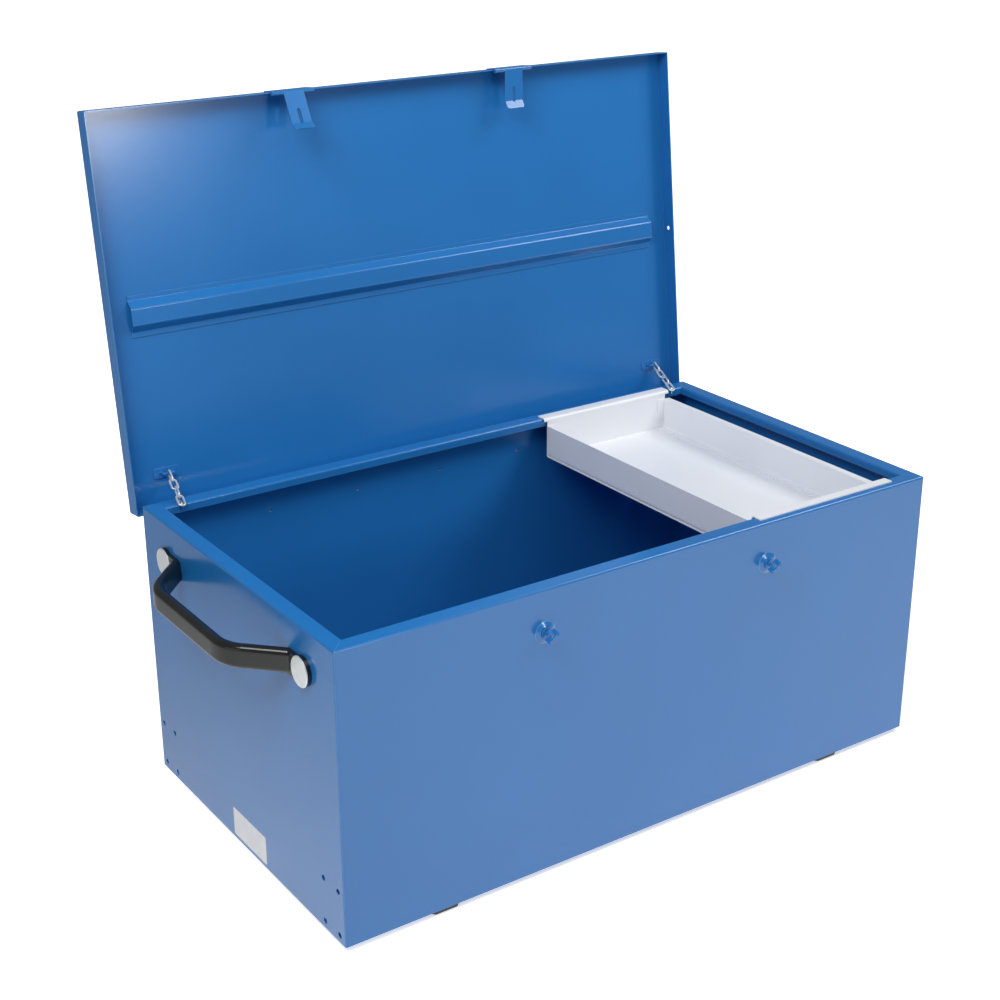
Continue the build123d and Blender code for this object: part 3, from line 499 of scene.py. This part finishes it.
def rivet_tree():
    """Row of domed rivets along X, each head standing up along Z."""
    inputs = [
        ("Count", "NodeSocketInt", 7), ("Pitch", "NodeSocketFloat", 100 * MM),
        ("Radius", "NodeSocketFloat", 3.6 * MM), ("Dome", "NodeSocketFloat", 1.2 * MM),
        ("Material", "NodeSocketMaterial", None),
    ]
    tree, given, result = geometry_tree("rivet_row", inputs)
    ball = tree.nodes.new("GeometryNodeMeshUVSphere")
    ball.inputs["Segments"].default_value = 20
    ball.inputs["Rings"].default_value = 10
    ball.inputs["Radius"].default_value = 1.0
    squash = tree.nodes.new("ShaderNodeCombineXYZ")
    tree.links.new(given.outputs["Radius"], squash.inputs["X"])
    tree.links.new(given.outputs["Radius"], squash.inputs["Y"])
    tree.links.new(given.outputs["Dome"], squash.inputs["Z"])
    row = tree.nodes.new("GeometryNodeMeshLine")
    step = tree.nodes.new("ShaderNodeCombineXYZ")
    tree.links.new(given.outputs["Pitch"], step.inputs["X"])
    tree.links.new(given.outputs["Count"], row.inputs["Count"])
    tree.links.new(step.outputs[0], row.inputs["Offset"])
    copies = tree.nodes.new("GeometryNodeInstanceOnPoints")
    tree.links.new(row.outputs[0], copies.inputs["Points"])
    tree.links.new(ball.outputs[0], copies.inputs["Instance"])
    tree.links.new(squash.outputs[0], copies.inputs["Scale"])
    finish_tree(tree, given, result, copies.outputs[0])
    return tree


def node_points(name):
    """Corner points of a CAD node as an array."""
    return np.array([v.co for v in frame["nodes"][name].data.vertices], float)


def long_axis(points):
    """Middle, direction and length of a long thin cloud of points."""
    middle = points.mean(0)
    values, vectors = np.linalg.eigh(np.cov((points - middle).T))
    direction = vectors[:, values.argmax()]
    if direction[2] < 0:
        direction = -direction
    along = (points - middle) @ direction
    start = middle + direction * along.min()
    return Vector(start), Vector(direction), float(np.ptp(along))


# ---------------------------------------------------------------- one operator per piece or group
class TOOLBOX_OT_sheet_metal(bpy.types.Operator):
    """Coats the blue sheet-steel panels, lid, hinge leaves and hasps"""

    bl_idname = "toolbox.sheet_metal"
    bl_label = "Blue sheet metal"

    def execute(self, context):
        paint = context.scene.toolbox_paint
        # (0.16, 0.40, 0.72) is the paler blue painted along the folds as a highlight
        coat = powder_coat("blue_powder_coat", paint.blue, paint.blue_roughness, (0.16, 0.40, 0.72))
        finish_nodes(BLUE_NODES, coat)
        return {"FINISHED"}


class TOOLBOX_OT_tray(bpy.types.Operator):
    """Coats the sliding tray"""

    bl_idname = "toolbox.tray"
    bl_label = "Tray"

    def execute(self, context):
        paint = context.scene.toolbox_paint
        # (0.90, 0.91, 0.93) is the near-white painted along the tray's folds as a highlight
        coat = powder_coat("white_powder_coat", paint.white, 0.38, (0.90, 0.91, 0.93), peel=2.0 * MM)
        finish_nodes(TRAY_NODES, coat)
        return {"FINISHED"}


class TOOLBOX_OT_handles(bpy.types.Operator):
    """Finishes the two bow grips and their round caps"""

    bl_idname = "toolbox.handles"
    bl_label = "Handles"

    def execute(self, context):
        paint = context.scene.toolbox_paint
        finish_nodes(GRIP_NODES, moulded_plastic("black_grip_plastic", paint.black, 0.16))
        bright = [min(1, c * 1.25) for c in paint.zinc]
        finish_nodes(["handle_caps"], plated_steel("cap_plate", bright, 0.40, metallic=0.6))
        return {"FINISHED"}


class TOOLBOX_OT_hardware(bpy.types.Operator):
    """Plates the bolts, nuts, hooks and pins, and finishes the rubber feet"""

    bl_idname = "toolbox.hardware"
    bl_label = "Hardware and feet"

    def execute(self, context):
        paint = context.scene.toolbox_paint
        finish_nodes(ZINC_NODES, plated_steel("zinc_plate", paint.zinc, 0.30))
        finish_nodes(["feet"], moulded_rubber("foot_rubber", paint.rubber))
        return {"FINISHED"}


class TOOLBOX_OT_chains(bpy.types.Operator):
    """Makes the two lid chains as straight rows of links along the CAD chains"""

    bl_idname = "toolbox.chains"
    bl_label = "Lid chains"

    def execute(self, context):
        sizes = context.scene.toolbox_sizes
        bright = [min(1, c * 1.25) for c in context.scene.toolbox_paint.zinc]
        plate = plated_steel("chain_plate", bright, 0.34, metallic=0.7)
        tree = chain_tree()
        for side in ("left", "right"):
            start, direction, length = long_axis(node_points("chain_" + side))
            wire = 2 * sizes.link_wire
            inner = (length - 2 * wire + (sizes.links - 1) * sizes.link_gap) / sizes.links
            values = {"Links": sizes.links, "Inner length": inner, "Width": sizes.link_width,
                      "Wire": sizes.link_wire, "Play": sizes.link_gap, "Material": plate}
            piece = baked("lid_chain_" + side, tree, values)
            across = (Vector((1, 0, 0)) - direction * direction.x).normalized()
            turn = Matrix((direction, across, direction.cross(across))).transposed().to_4x4()
            first = start + direction * (wire + inner / 2)
            piece.data.transform(Matrix.Translation(first) @ turn)
            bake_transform(piece)
            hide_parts("chain_" + side)
        return {"FINISHED"}


class TOOLBOX_OT_rivets(bpy.types.Operator):
    """Makes the domed rivets of the piano hinge"""

    bl_idname = "toolbox.rivets"
    bl_label = "Hinge rivets"

    def execute(self, context):
        sizes = context.scene.toolbox_sizes
        plate = plated_steel("rivet_plate", context.scene.toolbox_paint.zinc, 0.3)
        tree = rivet_tree()
        rows = {"box_hinge_rivets": ("box", Vector((0, 1, 0))), "lid_hinge_rivets": ("lid", None)}
        for name, (body, out) in rows.items():
            points = node_points(name)
            low, high = points.min(0), points.max(0)
            radius = self.head_radius(points)
            pitch = (high[0] - low[0] - 2 * radius) / (sizes.rivets - 1)
            middle = (low + high) / 2
            out = out or self.lid_outward()
            head = Vector((low[0] + radius, middle[1], middle[2]))
            reach = max((Vector(p) - head).dot(out) for p in points)
            values = {"Count": sizes.rivets, "Pitch": pitch, "Radius": radius, "Dome": sizes.rivet_dome,
                      "Material": plate}
            piece = baked(name.replace("hinge_rivets", "rivet_heads"), tree, values)
            across = Vector((1, 0, 0))
            turn = Matrix((across, out.cross(across), out)).transposed().to_4x4()
            place = head + out * (reach - sizes.rivet_dome)
            piece.data.transform(Matrix.Translation(place) @ turn)
            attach(piece, body)
            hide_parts(name)
        return {"FINISHED"}

    @staticmethod
    def head_radius(points):
        """Half the width of the first rivet in the row."""
        near = points[points[:, 0] < points[:, 0].min() + 0.02]
        return float(np.ptp(near[:, 0])) / 2

    @staticmethod
    def lid_outward():
        """Outward direction of the lid's rear skirt while the lid is open."""
        hinge = next(joint for joint in frame["joints"] if joint["name"] == "lid_hinge")
        angle = math.radians(hinge["range_deg"][1])
        return Vector((0, math.cos(angle), -math.sin(angle)))


class TOOLBOX_OT_sticker(bpy.types.Operator):
    """Makes the blank sticker low on the left end"""

    bl_idname = "toolbox.sticker"
    bl_label = "Blank sticker"
    corner = 2.0 * MM
    thickness = 0.15 * MM
    steps = 4  # sides of a rounded corner

    def execute(self, context):
        sizes = context.scene.toolbox_sizes
        half_w, half_h = sizes.sticker_width / 2, sizes.sticker_height / 2
        outline = []
        for cx, cz, begin in ((1, 1, 0), (-1, 1, 90), (-1, -1, 180), (1, -1, 270)):
            for i in range(self.steps + 1):
                angle = math.radians(begin + 90 * i / self.steps)
                y = cx * (half_w - self.corner) + self.corner * math.cos(angle)
                outline.append((0, y, cz * (half_h - self.corner) + self.corner * math.sin(angle)))
        mesh = bpy.data.meshes.new("blank_sticker")
        work = bmesh.new()
        face = work.faces.new([work.verts.new(p) for p in outline])
        shell = bmesh.ops.extrude_face_region(work, geom=[face])
        moved = [v for v in shell["geom"] if isinstance(v, bmesh.types.BMVert)]
        bmesh.ops.translate(work, verts=moved, vec=(-self.thickness, 0, 0))
        bmesh.ops.recalc_face_normals(work, faces=work.faces)
        work.to_mesh(mesh)
        work.free()
        piece = bpy.data.objects.new("blank_sticker", mesh)
        context.scene.collection.objects.link(piece)
        mesh.materials.append(sticker_paper("sticker_paper", context.scene.toolbox_paint.paper))
        place = Vector((WALL_LOW.x, -sizes.sticker_forward, WALL_LOW.z + sizes.sticker_rise + half_h))
        mesh.transform(Matrix.Translation(place))
        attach(piece, "box")
        return {"FINISHED"}


# ---------------------------------------------------------------- studio
def add_area_lamp(name, place, target, size, power):
    """Soft lamp of a given width and height that points at a target."""
    lamp = bpy.data.lights.new(name, "AREA")
    lamp.shape = "RECTANGLE"
    lamp.size, lamp.size_y = size
    lamp.energy = power
    holder = bpy.data.objects.new(name, lamp)
    bpy.context.scene.collection.objects.link(holder)
    holder.location = place
    holder.rotation_euler = (Vector(target) - Vector(place)).to_track_quat("-Z", "Y").to_euler()


def add_floor():
    """Pale floor that runs out of sight and keeps the shadow of the box; near the box it glows for glossy rays, a
    painted pool of light that the glossy pieces mirror.
    """
    mesh = bpy.data.meshes.new("studio_floor")
    work = bmesh.new()
    bmesh.ops.create_grid(work, x_segments=4, y_segments=4, size=FLOOR_EXTENT)
    work.to_mesh(mesh)
    work.free()
    floor = bpy.data.objects.new("studio_floor", mesh)
    bpy.context.scene.collection.objects.link(floor)
    mesh.transform(Matrix.Translation((0, 0, -FLOOR_DROP)))
    material, tree, shader, place = new_material("studio_floor")
    speck = noise(tree, place, 3.0, 2.0)
    tree.links.new(tint(tree, (FLOOR_GREY,) * 3, speck, 0.99, 1.01), shader.inputs["Base Color"])
    shader.inputs["Roughness"].default_value = 0.9
    shader.inputs["Specular IOR Level"].default_value = 0.0
    path = tree.nodes.new("ShaderNodeLightPath")
    away = tree.nodes.new("ShaderNodeVectorMath")
    away.operation = "DISTANCE"
    away.inputs[1].default_value = POOL_MIDDLE
    tree.links.new(place, away.inputs[0])
    near = tree.nodes.new("ShaderNodeMapRange")
    near.interpolation_type = "SMOOTHSTEP"
    near.inputs["From Min"].default_value, near.inputs["From Max"].default_value = POOL_EDGES
    tree.links.new(away.outputs["Value"], near.inputs["Value"])
    far = near.outputs["Result"]
    level = maths(tree, "ADD", FLOOR_SEEN[0], maths(tree, "MULTIPLY", far, FLOOR_SEEN[1]))
    seen = maths(tree, "MULTIPLY", path.outputs["Is Camera Ray"], level)
    # painted light: near the box the floor glows for glossy rays only, a bright pool seen in reflections and
    # lighting nothing else
    pool = maths(tree, "MULTIPLY", maths(tree, "SUBTRACT", 1.0, far), POOL_LEVEL)
    mirrored = maths(tree, "MULTIPLY", path.outputs["Is Glossy Ray"], pool)
    shader.inputs["Emission Color"].default_value = (1, 1, 1, 1)
    tree.links.new(maths(tree, "ADD", seen, mirrored), shader.inputs["Emission Strength"])
    mesh.materials.append(material)


def set_world(ambient):
    """White surroundings for the eye, plain soft light for everything else."""
    world = bpy.data.worlds.new("studio")
    bpy.context.scene.world = world
    world.use_nodes = True
    tree = world.node_tree
    soft = tree.nodes["Background"]
    soft.inputs["Color"].default_value = (1, 1, 1, 1)
    soft.inputs["Strength"].default_value = ambient
    seen = tree.nodes.new("ShaderNodeBackground")
    seen.inputs["Color"].default_value = (1, 1, 1, 1)
    path = tree.nodes.new("ShaderNodeLightPath")
    mix = tree.nodes.new("ShaderNodeMixShader")
    tree.links.new(path.outputs["Is Camera Ray"], mix.inputs[0])
    tree.links.new(soft.outputs[0], mix.inputs[1])
    tree.links.new(seen.outputs[0], mix.inputs[2])
    tree.links.new(mix.outputs[0], tree.nodes["World Output"].inputs["Surface"])


def add_camera(studio):
    """Camera that looks at its target from a given azimuth, elevation and distance."""
    camera = bpy.data.cameras.new("studio_camera")
    camera.sensor_fit = "HORIZONTAL"
    camera.angle = studio.field
    camera.clip_end = CLIP_END
    holder = bpy.data.objects.new("studio_camera", camera)
    bpy.context.scene.collection.objects.link(holder)
    away = Vector((-math.sin(studio.azimuth), -math.cos(studio.azimuth), 0)) * math.cos(studio.elevation)
    away.z = math.sin(studio.elevation)
    target = Vector(studio.target)
    holder.location = target + away * studio.distance
    level = (-away).to_track_quat("-Z", "Y").to_matrix()
    holder.rotation_euler = (level @ Matrix.Rotation(studio.roll, 3, "Z")).to_euler()
    bpy.context.scene.camera = holder


class TOOLBOX_OT_studio(bpy.types.Operator):
    """Sets up the floor, the lamps and the camera"""

    bl_idname = "toolbox.studio"
    bl_label = "Studio"

    def execute(self, context):
        scene = context.scene
        studio = scene.toolbox_studio
        scene.view_settings.view_transform = "Standard"
        middle = (CAD_LOW + CAD_HIGH) / 2
        add_floor()
        set_world(studio.ambient)
        add_area_lamp("right_softbox", (1.3, -0.6, 1.7), middle, (0.8, 0.8), studio.right)
        add_area_lamp("left_softbox", (-1.1, -0.5, 1.7), middle, (0.8, 0.8), studio.left)
        add_area_lamp("front_softbox", (0.0, -1.3, 1.9), middle, (1.2, 0.8), studio.front)
        add_area_lamp("glint_lamp", (0.50, -2.08, 0.92), middle, (0.26, 0.26), studio.glint)
        add_area_lamp("left_fill", (-2.4, -0.3, 0.5), middle, (1.2, 0.9), studio.fill)
        add_camera(studio)
        return {"FINISHED"}


class TOOLBOX_PT_panel(bpy.types.Panel):
    """Lists the sizes, colours and steps of the toolbox"""

    bl_label = "Toolbox with tray"
    bl_idname = "TOOLBOX_PT_panel"
    bl_space_type = "VIEW_3D"
    bl_region_type = "UI"
    bl_category = "Toolbox"

    def draw(self, context):
        for group in (context.scene.toolbox_paint, context.scene.toolbox_sizes, context.scene.toolbox_studio):
            box = self.layout.box()
            for name in group.bl_rna.properties.keys():
                if name not in ("rna_type", "name"):
                    box.prop(group, name)
        for step in OPERATORS:
            self.layout.operator(step.bl_idname)


OPERATORS = (
    TOOLBOX_OT_sheet_metal, TOOLBOX_OT_tray, TOOLBOX_OT_handles, TOOLBOX_OT_hardware,
    TOOLBOX_OT_chains, TOOLBOX_OT_rivets, TOOLBOX_OT_sticker, TOOLBOX_OT_studio,
)
SETTINGS = (ToolboxPaint, ToolboxSizes, ToolboxStudio)
CLASSES = SETTINGS + OPERATORS + (TOOLBOX_PT_panel,)


def register():
    for cls in CLASSES:
        bpy.utils.register_class(cls)
    bpy.types.Scene.toolbox_paint = PointerProperty(type=ToolboxPaint)
    bpy.types.Scene.toolbox_sizes = PointerProperty(type=ToolboxSizes)
    bpy.types.Scene.toolbox_studio = PointerProperty(type=ToolboxStudio)


def unregister():
    del bpy.types.Scene.toolbox_studio
    del bpy.types.Scene.toolbox_sizes
    del bpy.types.Scene.toolbox_paint
    for cls in reversed(CLASSES):
        bpy.utils.unregister_class(cls)


def main():
    register()
    bpy.ops.toolbox.sheet_metal()
    bpy.ops.toolbox.tray()
    bpy.ops.toolbox.handles()
    bpy.ops.toolbox.hardware()
    bpy.ops.toolbox.chains()
    bpy.ops.toolbox.rivets()
    bpy.ops.toolbox.sticker()
    bpy.ops.toolbox.studio()


if __name__ == "__main__":
    main()
